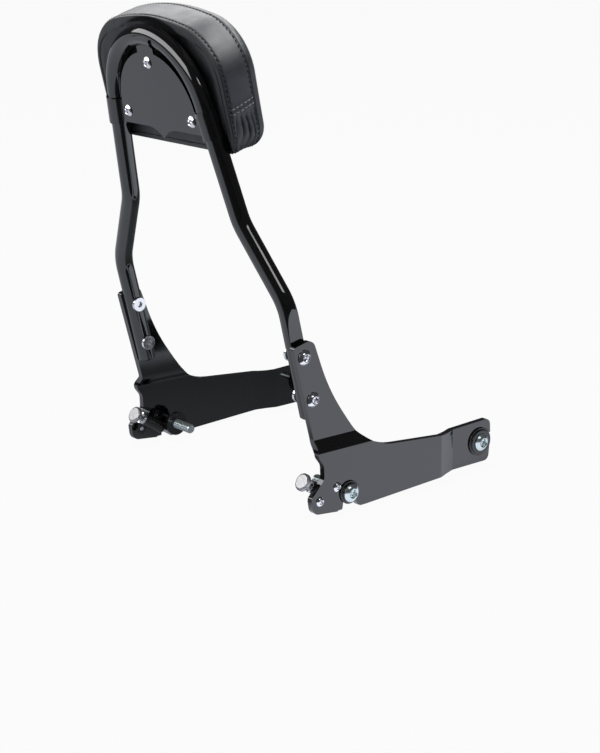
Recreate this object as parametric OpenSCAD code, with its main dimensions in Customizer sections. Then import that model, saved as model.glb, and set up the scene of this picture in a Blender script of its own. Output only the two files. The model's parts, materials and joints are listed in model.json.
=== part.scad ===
// Detachable motorcycle backrest: a bent bar hoop on two side plates, an upholstered pad on a
// clamping plate, docking hardware at four points and a spring latch on each side.
// Frame: +X to the rider's right, +Y forward, +Z up, in millimetres. The origin is on the middle
// plane, on the common axis of the two rear docking bolts.

/* [Bar hoop] */
// Diameter of the round bar that makes the hoop and both legs
bar_d = 17; // [15:0.5:19]
// From the middle plane to the bar's centre at the feet
foot_half = 127; // [122:1:134]
// From the middle plane to the bar's centre at the upper bend
waist_half = 85; // [80:1:90]
// Height of the lower bend above the lower leg screw, along the legs
low_bend = 90; // [84:1:98]
// Height of the upper bend above the lower leg screw, along the legs
high_bend = 160; // [150:1:168]
// Height of the hoop's centre above the lower leg screw, along the legs
hoop_rise = 255; // [248:1:262]
// Centreline radius of the hoop
hoop_r = 68; // [64:1:72]
// Centreline radius of the four bends in the legs
bend_r = 45; // [35:1:55]
// How far the legs lean back from upright
lean = 13.5; // [8:0.5:18]

/* [Feet of the bar] */
// How far the foot reaches below the lower leg screw
foot_drop = 19; // [15:1:24]
// Distance between the two leg screws
leg_screw_gap = 41.5; // [36:0.5:48]
// How much of the bar's outer side is flattened for the side plate
flat_depth = 3.9; // [2:0.1:5]
// How far the flat runs above the upper leg screw
flat_over = 15; // [12:1:20]
// Radius of the scoop that ends the flat
flat_scoop_r = 150; // [60:5:200]

/* [Side plates] */
// Thickness of the side plates
plate_t = 6; // [5:0.5:8]
// How far the middle of the plate stands outboard of the arm
arm_step = 8; // [6:0.5:10]
// Height over which the arm steps in
arm_step_run = 8; // [7:0.5:12]
// Height of the arm's step above the rear docking axis
arm_step_z = 49; // [46:0.5:52]
// How far the front end stands inboard of the middle of the plate
front_step = 8; // [6:0.5:10]
// Length over which the front end steps in
front_step_run = 22; // [18:1:26]
// Distance of the front step's middle ahead of the rear docking axis
front_step_y = 126; // [120:1:130]
// Inside radius of the plate's bends
plate_bend_r = 4; // [2:0.5:6]

/* [Docking points] */
// Distance of the front docking bolt ahead of the rear one
dock_run = 172; // [168:1:176]
// Height of the front docking bolt above the rear one
dock_rise = 10.5; // [8:0.5:13]
// Diameter of the docking bolts' plain shank, inside the spool and the washer
shank_d = 10; // [9:0.1:10.5]
// Outside diameter of the docking bolts' threaded end
stud_d = 9.5; // [8:0.1:9.6]
// Length of the threaded end, which stands inboard for the strut
stud_len = 24; // [18:1:32]
// Diameter of the spools that the notches drop over
spool_d = 13; // [12:0.5:15]
// Diameter of the spools' inner flanges
flange_d = 24; // [20:1:28]
// Thickness of the rear spools' inner flanges
flange_t = 4; // [3:0.5:4.5]
// Length of the front spools' inner flanges, from the strut to the plate
front_flange_len = 9.4; // [6:0.2:10]
// Diameter of the rear docking washers
rear_washer_d = 22; // [18:1:22]
// Diameter of the front docking washers
front_washer_d = 28; // [25:1:30]
// Thickness of the docking washers
dock_washer_t = 3.2; // [2.5:0.1:4]
// Diameter of the docking bolts' heads
dock_head_d = 17; // [15:0.5:19]

/* [Pad plate] */
// Thickness of the pad plate's sheet
sheet_t = 1.6; // [1.2:0.2:3]
// Rear face of the pad plate behind the bar's centre plane
sheet_back = 4; // [3.5:0.5:6]
// Half of the plate's width where it meets the sleeves
sheet_half = 58; // [55:1:60]
// Radius of the plate's arched top
arch_r = 56; // [50:1:57]
// Height of the sleeves' lower end above the lower leg screw, along the legs
sleeve_low = 236; // [232:1:240]
// Length of the sleeves that wrap the legs
sleeve_len = 25; // [20:1:28]
// Angle round the hoop that the top tab covers
tab_angle = 30; // [24:1:40]
// Depth of the point in the middle of the lower edge
point_drop = 10; // [7:0.5:12]
// Half-width over which the lower edge falls to its point
point_half = 22; // [18:1:28]
// Half the distance between the two lower pad screws
pad_screw_half = 48.5; // [46:0.5:50]
// Height of the lower pad screws above the lower leg screw, along the legs
pad_screw_low = 249.5; // [247:0.5:253]
// Height of the upper pad screw above the lower pad screws
pad_screw_rise = 49; // [44:0.5:50]

/* [Pad] */
// Width of the pad
pad_w = 189; // [180:1:200]
// Height of the pad
pad_h = 121.5; // [116:0.5:128]
// Thickness of the pad, with its crown
pad_t = 42; // [38:1:52]
// Height of the pad's lower edge above the lower leg screw, along the legs
pad_low = 218.5; // [212:0.5:224]
// Radius of the pad's lower corners
pad_low_r = 21; // [16:1:26]
// Radius of the pad's upper corners
pad_top_r = 52; // [44:1:58]
// Radius of the rounding along the pad's front edge
pad_front_round = 12; // [8:1:16]
// Radius of the rounding along the pad's back edge
pad_back_round = 2; // [1.5:0.5:4]
// Thickness of the cover
cover_t = 1.4; // [1.2:0.1:2]
// Height of the cross seams in the boxing above the lower leg screw, along the legs
cross_seam = 261; // [256:1:272]
// Depth of the seams in the cover
seam_dip = 0.8; // [0.4:0.1:0.9]
// Number of gathered folds across the boxing below the cross seams
fold_count = 4; // [3:1:5]
// How far the folds stand out
fold_lift = 1.6; // [0.8:0.1:2]
// Thickness of the base board
board_t = 6; // [5:0.5:8]

/* [Latches] */
// Angle at which the latch plungers slope down towards the front
latch_slope = 32; // [28:0.5:36]
// Diameter of the locking pin
pin_d = 6; // [5:0.5:6.5]
// How far the pin is pulled to free the spool
latch_travel = 12; // [10:0.5:13]
// How far the pin reaches past the spool's middle
pin_reach = 9; // [7:0.5:11]
// Diameter of the pull knobs
knob_d = 16.5; // [15:0.5:18]
// Height of the pull knobs
knob_h = 8; // [6:0.5:9]
// Outer diameter of the latch housings
housing_d = 12; // [11.5:0.1:12.5]
// Diameter of the chamber that holds the spring
chamber_d = 9.4; // [9:0.1:9.6]
// Wire diameter of the latch springs
spring_wire = 0.9; // [0.7:0.1:1]
// Number of turns of the latch springs
spring_turns = 5; // [4:1:6]

/* [Screws] */
// Diameter of the leg screws
leg_screw_d = 8; // [6:0.5:8]
// Diameter of the leg screws' heads
leg_head_d = 14; // [12:0.5:15]
// Outer diameter of the sleeve nuts' barrels
nut_barrel_d = 10.5; // [10.2:0.1:11]
// Diameter of the pad screws
pad_screw_d = 6; // [5:0.5:6.5]
// Diameter of the pad screws' heads
pad_head_d = 11; // [10:0.5:12]
// Diameter of the latch screws
latch_screw_d = 5; // [4:0.5:5]
// Diameter of the latch screws' heads
latch_head_d = 9; // [8:0.1:9.2]

/* [Hidden] */
$fn = 64;

// Clearances and small cut allowances
bolt_play = 0.25;
thread_play = 0.1;
slide_play = 0.08;
seat_play = 0.2;
soft_play = 0.3;
eps = 1;
far = 400;

// Places in the frame of the rear docking axis
leg_y = -35.6;
leg_z = 92;
bar_r = bar_d / 2;
flat_x = foot_half + bar_r - flat_depth;
arm_out = flat_x + plate_t;
mid_out = arm_out + arm_step;
mid_in = mid_out - plate_t;
front_out = mid_out - front_step;
front_in = front_out - plate_t;
// Faces of the struts that the docking points bolt to
strut_half = front_in - seat_play - front_flange_len;

// Turns the plane of the legs upright: x stays, y runs up the legs, z points to the rear
module leg_plane() {
    translate([0, leg_y, leg_z]) rotate([90 + lean, 0, 0]) children();
}
// Lays a flat drawing of (Y, Z) out along X from x0 to x1
module across(x0, x1) {
    translate([x0, 0, 0]) rotate([90, 0, 90]) linear_extrude(x1 - x0) children();
}
// Puts the children on both sides
module both_sides() {
    children();
    mirror([1, 0, 0]) children();
}
// A cylinder along +X from x0 to x1
module x_rod(d, x0, x1) {
    translate([x0, 0, 0]) rotate([0, 90, 0]) cylinder(d = d, h = x1 - x0);
}

// Arc from a to b round a hub: points, each with its direction away from the hub
function arc_fan(hub, a, b, n) =
    let (p = a - hub, q = b - hub, start = atan2(p.y, p.x), turn = atan2(p.x * q.y - p.y * q.x, p * q))
    [for (i = [0:n]) let (v = [cos(start + turn * i / n), sin(start + turn * i / n)]) [hub + norm(p) * v, v]];
function unit(v) = v / norm(v);
// Start, end and hub of the arc of radius r that rounds the corner b between a and c
function corner(a, b, c, r) =
    let (u = unit(a - b), w = unit(c - b), half = acos(u * w) / 2, reach = r / tan(half))
    [b + u * reach, b + w * reach, b + unit(u + w) * r / sin(half)];
// Fans of the rounded corners of an outline given as [x, y, radius] corners
function corner_fans(pts, n) = [for (i = [0:len(pts) - 1])
    let (last = len(pts), a = flat2(pts[(i + last - 1) % last]), b = flat2(pts[i]),
         c = flat2(pts[(i + 1) % last]), k = corner(a, b, c, max(pts[i][2], 0.01)))
    pts[i][2] > 0 ? arc_fan(k[2], k[0], k[1], n) : [[b, unit(b - k[2])]]];
function flat2(v) = [v.x, v.y];
function rounded(pts, n = 8) = [for (fan = corner_fans(pts, n)) for (t = fan) t[0]];

// Centreline of the bar in the plane of the legs: two bends in each leg, then the hoop
hoop_centre = [0, hoop_rise];
bend_low = [foot_half, low_bend];
bend_high = [waist_half, high_bend];
from_hoop = bend_high - hoop_centre;
tangent_turn = atan2(from_hoop.y, from_hoop.x) + acos(hoop_r / norm(from_hoop));
tangent_point = hoop_centre + hoop_r * [cos(tangent_turn), sin(tangent_turn)];
low_arc = corner([foot_half, 0], bend_low, bend_high, bend_r);
high_arc = corner(bend_low, bend_high, tangent_point, bend_r);

// Sleeve nuts and leg screws share this stack along X
nut_head_t = 3;
nut_seat = foot_half - bar_r + 1;
nut_barrel_len = flat_x - nut_seat - 1.5;
leg_head_h = 4.2;
module at_leg_screws() {
    for (s = [0, leg_screw_gap]) leg_plane() translate([0, s, 0]) children();
}

// Stations along the bar's centreline: a point and the direction to the outer side there
bar_sides = 28;
hoop_steps = 30;
leg_stations = concat(
    [[[foot_half, -foot_drop], [1, 0]]],
    arc_fan(low_arc[2], low_arc[0], low_arc[1], 7),
    [for (t = arc_fan(high_arc[2], high_arc[0], high_arc[1], 6)) [t[0], -t[1]]]);
hoop_stations = [for (i = [0:hoop_steps])
    let (a = tangent_turn + (180 - 2 * tangent_turn) * i / hoop_steps, v = [cos(a), sin(a)])
    [hoop_centre + hoop_r * v, v]];
other_leg = [for (i = [len(leg_stations) - 1:-1:0])
    let (t = leg_stations[i]) [[-t[0].x, t[0].y], [-t[1].x, t[1].y]]];
bar_stations = concat(leg_stations, hoop_stations, other_leg);

// Round bar of diameter d, swept along the stations
module swept_bar(d) {
    n = bar_sides;
    last = len(bar_stations) - 1;
    points = [for (t = bar_stations) for (k = [0:n - 1])
        let (b = 360 * k / n, c = t[0] + d / 2 * cos(b) * t[1])
        [c.x, c.y, d / 2 * sin(b)]];
    polyhedron(points, [
        [for (k = [0:n - 1]) k],
        [for (k = [n - 1:-1:0]) last * n + k],
        for (i = [0:last - 1]) for (k = [0:n - 1]) let (m = (k + 1) % n)
            each [[i * n + k, (i + 1) * n + k, (i + 1) * n + m], [i * n + k, (i + 1) * n + m, i * n + m]]]);
}

module hoop_bar() {
    color([0.05, 0.05, 0.055]) difference() {
        leg_plane() swept_bar(bar_d);
        both_sides() {
            leg_plane() {
                flat_top = leg_screw_gap + flat_over;
                translate([flat_x, -foot_drop - eps, -bar_d])
                    cube([bar_d, foot_drop + eps + flat_top, 2 * bar_d]);
                translate([flat_x + flat_scoop_r, flat_top, -bar_d])
                    cylinder(r = flat_scoop_r, h = 2 * bar_d, $fn = 360);
            }
            at_leg_screws() {
                x_rod(nut_barrel_d + 2 * thread_play, foot_half - bar_d, foot_half + bar_d);
                x_rod(leg_head_d + 2 * bolt_play, foot_half - bar_d, nut_seat);
            }
        }
    }
}

// Side plate: flat outline in (Y, Z), rear docking axis at [0, 0]
arm_dir = [-sin(lean), cos(lean)];
arm_across = [cos(lean), sin(lean)];
leg_foot = [leg_y, leg_z];
// A corner of the arm: along the legs, then across them towards the front, then its radius
function on_arm(along, over, r) =
    let (p = leg_foot + along * arm_dir + over * arm_across) [p.x, p.y, r];
arm_top = leg_screw_gap + 12.5;
plate_outline = [
    on_arm(arm_top, -10, 3), on_arm(arm_top, 13, 8), on_arm(2, 19, 200), on_arm(-34, 33, 40),
    [26, 37.5, 60], [front_step_y, 29, 100], [dock_run + 14, dock_rise + 21, 6],
    [dock_run + 15, dock_rise + 5, 3], [dock_run + 13, dock_rise - 21, 6],
    [front_step_y, -11, 60], [20, -16, 3], [12, -16, 2], [12, -15, 0], [-12, -15, 0], [-12, -16, 2],
    [-42, -13, 8], [-44, 2, 4], [-29, 18, 6], [-29.5, 31, 8], [-37, 41, 8], on_arm(-42, -8, 20)];

// Bent section of the arm, seen from the front: it steps in from the middle of the plate
module arm_sheet() {
    slope = atan2(arm_step, arm_step_run);
    shift = plate_t * tan(slope / 2);
    half = arm_step_run / 2;
    rotate([90, 0, 0]) linear_extrude(2 * far, center = true) translate([0, arm_step_z])
        polygon(rounded([
            [mid_out, -far, 0], [mid_out, -half, plate_bend_r + plate_t],
            [arm_out, half, plate_bend_r],
            [arm_out, far, 0], [flat_x, far, 0],
            [flat_x, half - shift, plate_bend_r + plate_t],
            [mid_in, -half - shift, plate_bend_r], [mid_in, -far, 0]]));
}
// Bent section of the front end, seen from above
module front_sheet() {
    slope = atan2(front_step, front_step_run);
    shift = plate_t * tan(slope / 2);
    half = front_step_run / 2;
    translate([0, front_step_y, 0]) linear_extrude(2 * far, center = true)
        polygon(rounded([
            [mid_out, -far, 0], [mid_out, -half, plate_bend_r + plate_t],
            [front_out, half, plate_bend_r], [front_out, far, 0], [front_in, far, 0],
            [front_in, half - shift, plate_bend_r + plate_t],
            [mid_in, -half - shift, plate_bend_r], [mid_in, -far, 0]]));
}
sheet_split = 70;
notch_d = spool_d + 2 * seat_play;
notch_depth = 20;
mouth_start = 8;
mouth_flare_front = 8;
mouth_flare_rear = 2;

module side_plate() {
    difference() {
        intersection() {
            across(strut_half, mid_out + eps) polygon(rounded(plate_outline));
            union() {
                intersection() {
                    arm_sheet();
                    translate([0, sheet_split - far, -far]) cube([far, far, 2 * far]);
                }
                intersection() {
                    front_sheet();
                    translate([0, sheet_split, -far]) cube([far, far, 2 * far]);
                }
            }
        }
        at_leg_screws() x_rod(leg_screw_d + 2 * bolt_play, strut_half, mid_out + eps);
        // Rear notch, open downward, with a flared mouth
        x_rod(notch_d, strut_half, mid_out + eps);
        across(strut_half, mid_out + eps)
            polygon([[-notch_d / 2, 0], [notch_d / 2, 0], [notch_d / 2, -mouth_start],
                [notch_d / 2 + mouth_flare_front, -notch_depth],
                [-notch_d / 2 - mouth_flare_rear, -notch_depth], [-notch_d / 2, -mouth_start]]);
        // Front notch, open forward
        translate([0, dock_run, dock_rise]) {
            x_rod(notch_d, strut_half, mid_out + eps);
            across(strut_half, mid_out + eps)
                translate([0, -notch_d / 2]) square([far, notch_d]);
        }
        for (p = latch_screw_places) at_latch() translate([0, p.x, p.y])
            x_rod(latch_screw_d + 2 * bolt_play, 0, mid_out - latch_x + eps);
    }
}
module side_plate_right() {
    color([0.06, 0.06, 0.065]) side_plate();
}
module side_plate_left() {
    color([0.06, 0.06, 0.065]) mirror([1, 0, 0]) side_plate();
}

// Button head screw along +X: head from x = 0 outward, shank inward
module button_screw(d, head_d, head_h, len) {
    difference() {
        union() {
            rotate([0, 90, 0]) rotate_extrude() intersection() {
                square([head_d / 2, head_h]);
                scale_r = (head_d * head_d / 4 + head_h * head_h) / (2 * head_h);
                translate([0, head_h - scale_r]) circle(r = scale_r, $fn = 96);
            }
            x_rod(d, -len, eps / 2);
        }
        translate([head_h * 0.35, 0, 0]) rotate([0, 90, 0]) cylinder(d = d * 0.68, h = head_h, $fn = 6);
    }
}

module leg_screws() {
    color([0.8, 0.8, 0.82]) both_sides() at_leg_screws() translate([arm_out, 0, 0])
        button_screw(leg_screw_d, leg_head_d, leg_head_h, arm_out - nut_seat - 1);
}
module leg_sleeve_nuts() {
    color([0.8, 0.8, 0.82]) both_sides() at_leg_screws() difference() {
        union() {
            x_rod(leg_head_d, nut_seat - nut_head_t, nut_seat);
            x_rod(nut_barrel_d, nut_seat - eps / 2, nut_seat + nut_barrel_len);
        }
        x_rod(leg_screw_d + 2 * thread_play, nut_seat, nut_seat + nut_barrel_len + eps);
        translate([nut_seat - nut_head_t - eps, 0, 0]) rotate([0, 90, 0])
            cylinder(d = leg_screw_d * 0.72, h = nut_head_t * 0.8 + eps, $fn = 6);
    }
}

// Pad plate, drawn in the plane of the legs
lean_in = 90 - atan2(tangent_point.y - bend_high.y, tangent_point.x - bend_high.x);
function leg_x(s) =
    bend_high.x + (tangent_point.x - bend_high.x) * (s - bend_high.y) / (tangent_point.y - bend_high.y);
wrap_in = bar_r + seat_play;
wrap_out = wrap_in + sheet_t;
sheet_front = sheet_back - sheet_t;
pad_screw_places = [[-pad_screw_half, pad_screw_low], [pad_screw_half, pad_screw_low],
    [0, pad_screw_low + pad_screw_rise]];

// Cross-section of a wrap from angle a0 to a1, where 0 points outward and 90 to the rear
module wrap_section(a0, a1) {
    n = 6;
    intersection() {
        circle(r = wrap_out);
        polygon([[0, 0], for (i = [0:n]) let (a = a0 + (a1 - a0) * i / n) 2 * wrap_out * [cos(a), sin(a)]]);
    }
}
// Room for the bar: the upper stretch of each leg and the hoop
module bar_room() {
    run = tangent_point - high_arc[1];
    both_sides() translate([high_arc[1].x, high_arc[1].y, 0]) rotate([0, 0, atan2(run.y, run.x)])
        x_rod(2 * wrap_in, 0, norm(run) + eps / 2);
    translate([0, hoop_rise, 0]) rotate([0, 0, tangent_turn]) rotate_extrude(angle = 180 - 2 * tangent_turn)
        translate([hoop_r, 0]) circle(r = wrap_in - 0.02);
}
module plate_sleeve() {
    mid = sleeve_low + sleeve_len / 2;
    translate([leg_x(mid), mid, 0]) rotate([0, 0, -lean_in]) rotate([90, 0, 0])
        linear_extrude(sleeve_len, center = true) wrap_section(-20, 180);
}
module plate_tab() {
    translate([0, hoop_rise, 0]) rotate([0, 0, 90 - tab_angle / 2])
        rotate_extrude(angle = tab_angle) translate([hoop_r, 0]) wrap_section(85, 180);
}
plate_low = sleeve_low + 2;
arch_centre = hoop_rise - 3;
tab_half = 12;
ear_over = 6;
module plate_face() {
    drop_r = (point_half * point_half + point_drop * point_drop) / (2 * point_drop);
    difference() {
        union() {
            translate([0, arch_centre]) circle(r = arch_r);
            translate([-arch_r, sleeve_low]) square([2 * arch_r, arch_centre - sleeve_low]);
            translate([-sheet_half - ear_over, plate_low])
                square([2 * (sheet_half + ear_over), sleeve_len - 4]);
            translate([-tab_half, hoop_rise]) square([2 * tab_half, hoop_r - bar_r]);
            polygon([[-point_half, plate_low + eps], [point_half, plate_low + eps],
                [0, plate_low - point_drop]]);
        }
        for (side = [-1, 1]) {
            translate([side * point_half, plate_low - drop_r]) circle(r = drop_r);
            translate([side * (point_half + far / 2), plate_low - far / 2])
                square([far, far], center = true);
        }
    }
}
module pad_plate() {
    color([0.07, 0.07, 0.075]) leg_plane() difference() {
        union() {
            translate([0, 0, sheet_front]) linear_extrude(sheet_t) plate_face();
            both_sides() plate_sleeve();
            plate_tab();
        }
        bar_room();
        for (p = pad_screw_places) translate([p.x, p.y, sheet_front - eps])
            cylinder(d = pad_screw_d + 2 * bolt_play, h = sheet_t + 2 * eps);
    }
}

// Pad, from its back panel to its crowned front. Its outline is drawn on the plane of the legs
pad_back = -bar_r - soft_play;
pad_half = pad_w / 2;
pad_top = pad_low + pad_h;
pad_mid = [0, (pad_low + pad_top) / 2];
crown = 4;
crown_share = 0.55;
shoulder_drop = 14;
top_rise = 4;
pad_corners = [[pad_half, pad_low, pad_low_r], [pad_half, pad_top - shoulder_drop, pad_top_r],
    [0, pad_top + top_rise, 240], [-pad_half, pad_top - shoulder_drop, pad_top_r],
    [-pad_half, pad_low, pad_low_r]];

// Fans of the pad's outline: points, each with its outward direction
pad_fans = corner_fans(pad_corners, 8);
pad_rim = [for (fan = pad_fans) each fan];
function pad_ring(rim, inset, depth, share = 1) =
    [for (q = rim) let (p = pad_mid + (q[0] - inset * q[1] - pad_mid) * share) [p.x, p.y, depth]];

// Closed form skinned over rings of points, from the back to the front, with a fan at each end
module skin(rings) {
    n = len(rings[0]);
    last = len(rings) - 1;
    back_hub = [pad_mid.x, pad_mid.y, rings[0][0].z];
    front_hub = [pad_mid.x, pad_mid.y, rings[last][0].z];
    polyhedron(concat([for (ring = rings) each ring], [back_hub, front_hub]), [
        for (k = [0:n - 1]) [(k + 1) % n, k, (last + 1) * n],
        for (k = [0:n - 1]) [last * n + k, last * n + (k + 1) % n, (last + 1) * n + 1],
        for (i = [0:last - 1]) for (k = [0:n - 1]) let (m = (k + 1) % n)
            each [[i * n + k, i * n + m, (i + 1) * n + m], [i * n + k, (i + 1) * n + m, (i + 1) * n + k]]]);
}
// Rings of the front: the rounding along the edge, then the crown
function front_rings(rim, wall, steps) = let (front = pad_back - pad_t + wall) [
    for (i = [0:steps]) let (a = 90 * i / steps)
        pad_ring(rim, wall + pad_front_round * (1 - cos(a)), front + crown + pad_front_round * (1 - sin(a))),
    pad_ring(rim, wall + pad_front_round, front + crown / 4, (1 + crown_share) / 2),
    pad_ring(rim, wall + pad_front_round, front, crown_share)];
// Plain form of the pad, shrunk by a wall
module pad_form(wall) {
    skin(concat([
        pad_ring(pad_rim, wall + pad_back_round, pad_back - wall),
        pad_ring(pad_rim, wall, pad_back - wall - pad_back_round)],
        front_rings(pad_rim, wall, 3)));
}

// Cover's outer rim: more points down the sides at the cross seams, and along the bottom
seam_half = 1.5;
side_marks = [-10, -6.5, -4, -seam_half, 0, seam_half, 8];
function side_points(x) = [for (mark = side_marks) [[x, cross_seam + mark], [sign(x), 0]]];
bottom_points = [for (i = [-3:3]) [[i * pad_half / 5, pad_low], [0, -1]]];
cover_rim = concat(pad_fans[0], side_points(pad_half), pad_fans[1], pad_fans[2], pad_fans[3],
    [for (i = [len(side_marks) - 1:-1:0]) side_points(-pad_half)[i]], pad_fans[4], bottom_points);
back_seam = pad_back - pad_back_round;
front_seam = pad_back - pad_t + crown + pad_front_round;
panel_seam_inset = 6;
boxing_puff = 1;
// How far the boxing stands out at a height and a share of the way from back seam to front seam
function fold_share(s) = min(1, max(0, (cross_seam - 3 - s) / 7));
function boxing_lift(s, along) =
    abs(s - cross_seam) < 0.1 ? -seam_dip :
    boxing_puff * sin(180 * along) * (1 - fold_share(s))
        + fold_lift * fold_share(s) * (0.5 - 0.5 * cos(360 * fold_count * along) - 0.3);
function boxing_ring(along) = [for (q = cover_rim)
    let (lift = boxing_lift(q[0].y, along), p = q[0] + lift * q[1])
    [p.x, p.y, back_seam + (front_seam - back_seam) * along]];
boxing_steps = 2 * fold_count;
// Outer form of the cover: the stitched back panel, the boxing between its two seams and the front
module cover_form() {
    skin(concat([
        pad_ring(cover_rim, panel_seam_inset + seam_half, pad_back),
        pad_ring(cover_rim, panel_seam_inset, pad_back - seam_dip / 2),
        pad_ring(cover_rim, panel_seam_inset - seam_half, pad_back),
        pad_ring(cover_rim, pad_back_round, pad_back),
        pad_ring(cover_rim, 0, back_seam + pad_back_round / 3),
        pad_ring(cover_rim, seam_dip, back_seam)],
        [for (i = [1:boxing_steps - 1]) boxing_ring(i / boxing_steps)],
        [pad_ring(cover_rim, seam_dip, front_seam)],
        [for (a = [6, 30, 60, 90])
            pad_ring(cover_rim, pad_front_round * (1 - cos(a)), front_seam - pad_front_round * sin(a))],
        [pad_ring(cover_rim, pad_front_round, front_seam - pad_front_round - crown * 0.75,
            (1 + crown_share) / 2),
        pad_ring(cover_rim, pad_front_round, front_seam - pad_front_round - crown, crown_share)]));
}
// Cylinders of diameter d on the three pad screws, from a depth to the one behind it
module at_pad_screws(d, front, back) {
    for (p = pad_screw_places) translate([p.x, p.y, front]) cylinder(d = d, h = back - front);
}
module pad_cover() {
    color([0.07, 0.07, 0.08]) leg_plane() difference() {
        cover_form();
        pad_form(cover_t);
        at_pad_screws(pad_screw_d + 4, pad_back - cover_t - eps, pad_back + eps);
    }
}
layer_gap = 0.2;
board_back = pad_back - cover_t - layer_gap;
board_front = board_back - board_t;
pad_screw_tip = board_front - 4;
tee_barrel_d = 8.6;
tee_flange_d = 18;
tee_flange_t = 1.2;
tee_back = board_front - tee_flange_t;
module board_outline(gap) {
    polygon([for (p = pad_ring(pad_rim, cover_t + pad_back_round + gap, 0)) [p.x, p.y]]);
}
module pad_base_board() {
    color([0.35, 0.25, 0.15]) leg_plane() difference() {
        translate([0, 0, board_front]) linear_extrude(board_t) board_outline(0.5);
        at_pad_screws(tee_barrel_d + 2 * bolt_play, board_front - eps, board_back + eps);
    }
}
module pad_tee_nuts() {
    color([0.6, 0.6, 0.58]) leg_plane() difference() {
        union() {
            at_pad_screws(tee_barrel_d, tee_back, board_back - 0.5);
            at_pad_screws(tee_flange_d, tee_back, board_front);
        }
        at_pad_screws(pad_screw_d + 2 * thread_play, tee_back - eps, board_back);
    }
}
module pad_foam() {
    color([0.75, 0.7, 0.5]) leg_plane() difference() {
        pad_form(cover_t + layer_gap);
        translate([-pad_w, 0, board_front - layer_gap]) cube([2 * pad_w, 2 * pad_top, 2 * board_t]);
        at_pad_screws(tee_flange_d + 2, pad_screw_tip - eps, board_front + eps);
    }
}
pad_head_h = 3.3;
module pad_screws() {
    color([0.8, 0.8, 0.82]) leg_plane() for (p = pad_screw_places)
        translate([p.x, p.y, sheet_back]) rotate([0, -90, 0])
            button_screw(pad_screw_d, pad_head_d, pad_head_h, sheet_back - pad_screw_tip);
}

// Docking hardware on the right, mirrored to the left: spool, washer and bolt along X
dock_rear = [0, 0];
dock_front = [dock_run, dock_rise];
dock_head_h = 4.2;
module at_dock(p) {
    translate([0, p.x, p.y]) children();
}
module dock_spool(flange_end, face_out) {
    difference() {
        union() {
            x_rod(flange_d, strut_half, flange_end);
            x_rod(spool_d, strut_half, face_out + seat_play);
        }
        x_rod(shank_d + 2 * bolt_play, strut_half - eps, face_out + seat_play + eps);
    }
}
module dock_washer(d, face_out) {
    base = face_out + seat_play;
    difference() {
        translate([base, 0, 0]) rotate([0, 90, 0]) rotate_extrude()
            polygon([[0, 0], [d / 2, 0], [d / 2, dock_washer_t / 2],
                [d / 2 - dock_washer_t / 2, dock_washer_t], [0, dock_washer_t]]);
        x_rod(shank_d + 2 * bolt_play, base - eps, base + dock_washer_t + eps);
    }
}
module dock_bolt(face_out) {
    seat = face_out + seat_play + dock_washer_t;
    translate([seat, 0, 0]) button_screw(shank_d, dock_head_d, dock_head_h, seat - strut_half);
    x_rod(stud_d, strut_half - stud_len, strut_half + eps / 2);
}
module dock_spools_rear() {
    color([0.08, 0.08, 0.08]) both_sides() at_dock(dock_rear) dock_spool(strut_half + flange_t, mid_out);
}
module dock_spools_front() {
    color([0.08, 0.08, 0.08]) both_sides() at_dock(dock_front) dock_spool(front_in - seat_play, front_out);
}
module dock_washers_rear() {
    color([0.09, 0.09, 0.09]) both_sides() at_dock(dock_rear) dock_washer(rear_washer_d, mid_out);
}
module dock_washers_front() {
    color([0.09, 0.09, 0.09]) both_sides() at_dock(dock_front) dock_washer(front_washer_d, front_out);
}
module dock_bolts_rear() {
    color([0.75, 0.8, 0.8]) both_sides() at_dock(dock_rear) dock_bolt(mid_out);
}
module dock_bolts_front() {
    color([0.75, 0.8, 0.8]) both_sides() at_dock(dock_front) dock_bolt(front_out);
}

// Latch, drawn with z along the pull direction and the spool's axis above it at z = 0
latch_x = mid_in - 6.6;
pin_drop = spool_d / 2 + pin_d / 2 + 0.5;
housing_low = 8;
chamber_low = housing_low + 3;
collar_t = 3;
cap_t = 3.5;
cap_spigot = 2;
spring_solid = (spring_turns + 1) * spring_wire;
housing_high = chamber_low + collar_t + latch_travel + spring_solid + cap_spigot + 0.6;
stem_d = 4.4;
stem_bite = 5;
knob_low = housing_high + cap_t + 2;
ear_t = 4;
ear_half = 5;
latch_screw_places = [[9.2, 15.9], [-9.5, 28]];
module at_latch() {
    translate([latch_x, 0, 0]) rotate([90 - latch_slope, 0, 0]) translate([0, -pin_drop, 0]) children();
}
module latch_housing() {
    wall = mid_in - latch_x;
    housing_len = housing_high - housing_low;
    difference() {
        union() {
            translate([0, 0, housing_low]) cylinder(d = housing_d, h = housing_len);
            translate([0, -housing_d / 2, housing_low]) cube([wall, housing_d, housing_len]);
            for (p = latch_screw_places)
                translate([wall - ear_t, p.x < 0 ? p.x - ear_half : 0, p.y - ear_half])
                    cube([ear_t, abs(p.x) + ear_half, 2 * ear_half]);
        }
        translate([0, 0, housing_low - eps]) cylinder(d = pin_d + 2 * slide_play, h = housing_high);
        translate([0, 0, chamber_low]) cylinder(d = chamber_d, h = housing_high);
        for (p = latch_screw_places) translate([0, p.x, p.y])
            x_rod(latch_screw_d + 2 * thread_play, wall - ear_t - eps, wall + eps);
    }
}
module latch_cap() {
    difference() {
        union() {
            translate([0, 0, housing_high]) cylinder(d = housing_d, h = cap_t);
            translate([0, 0, housing_high - cap_spigot])
                cylinder(d = chamber_d - 2 * slide_play, h = cap_spigot + eps / 2);
        }
        translate([0, 0, housing_high - cap_spigot - eps])
            cylinder(d = stem_d + 2 * slide_play, h = cap_t + cap_spigot + 2 * eps);
    }
}
collar_low = chamber_low + 0.1;
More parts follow.
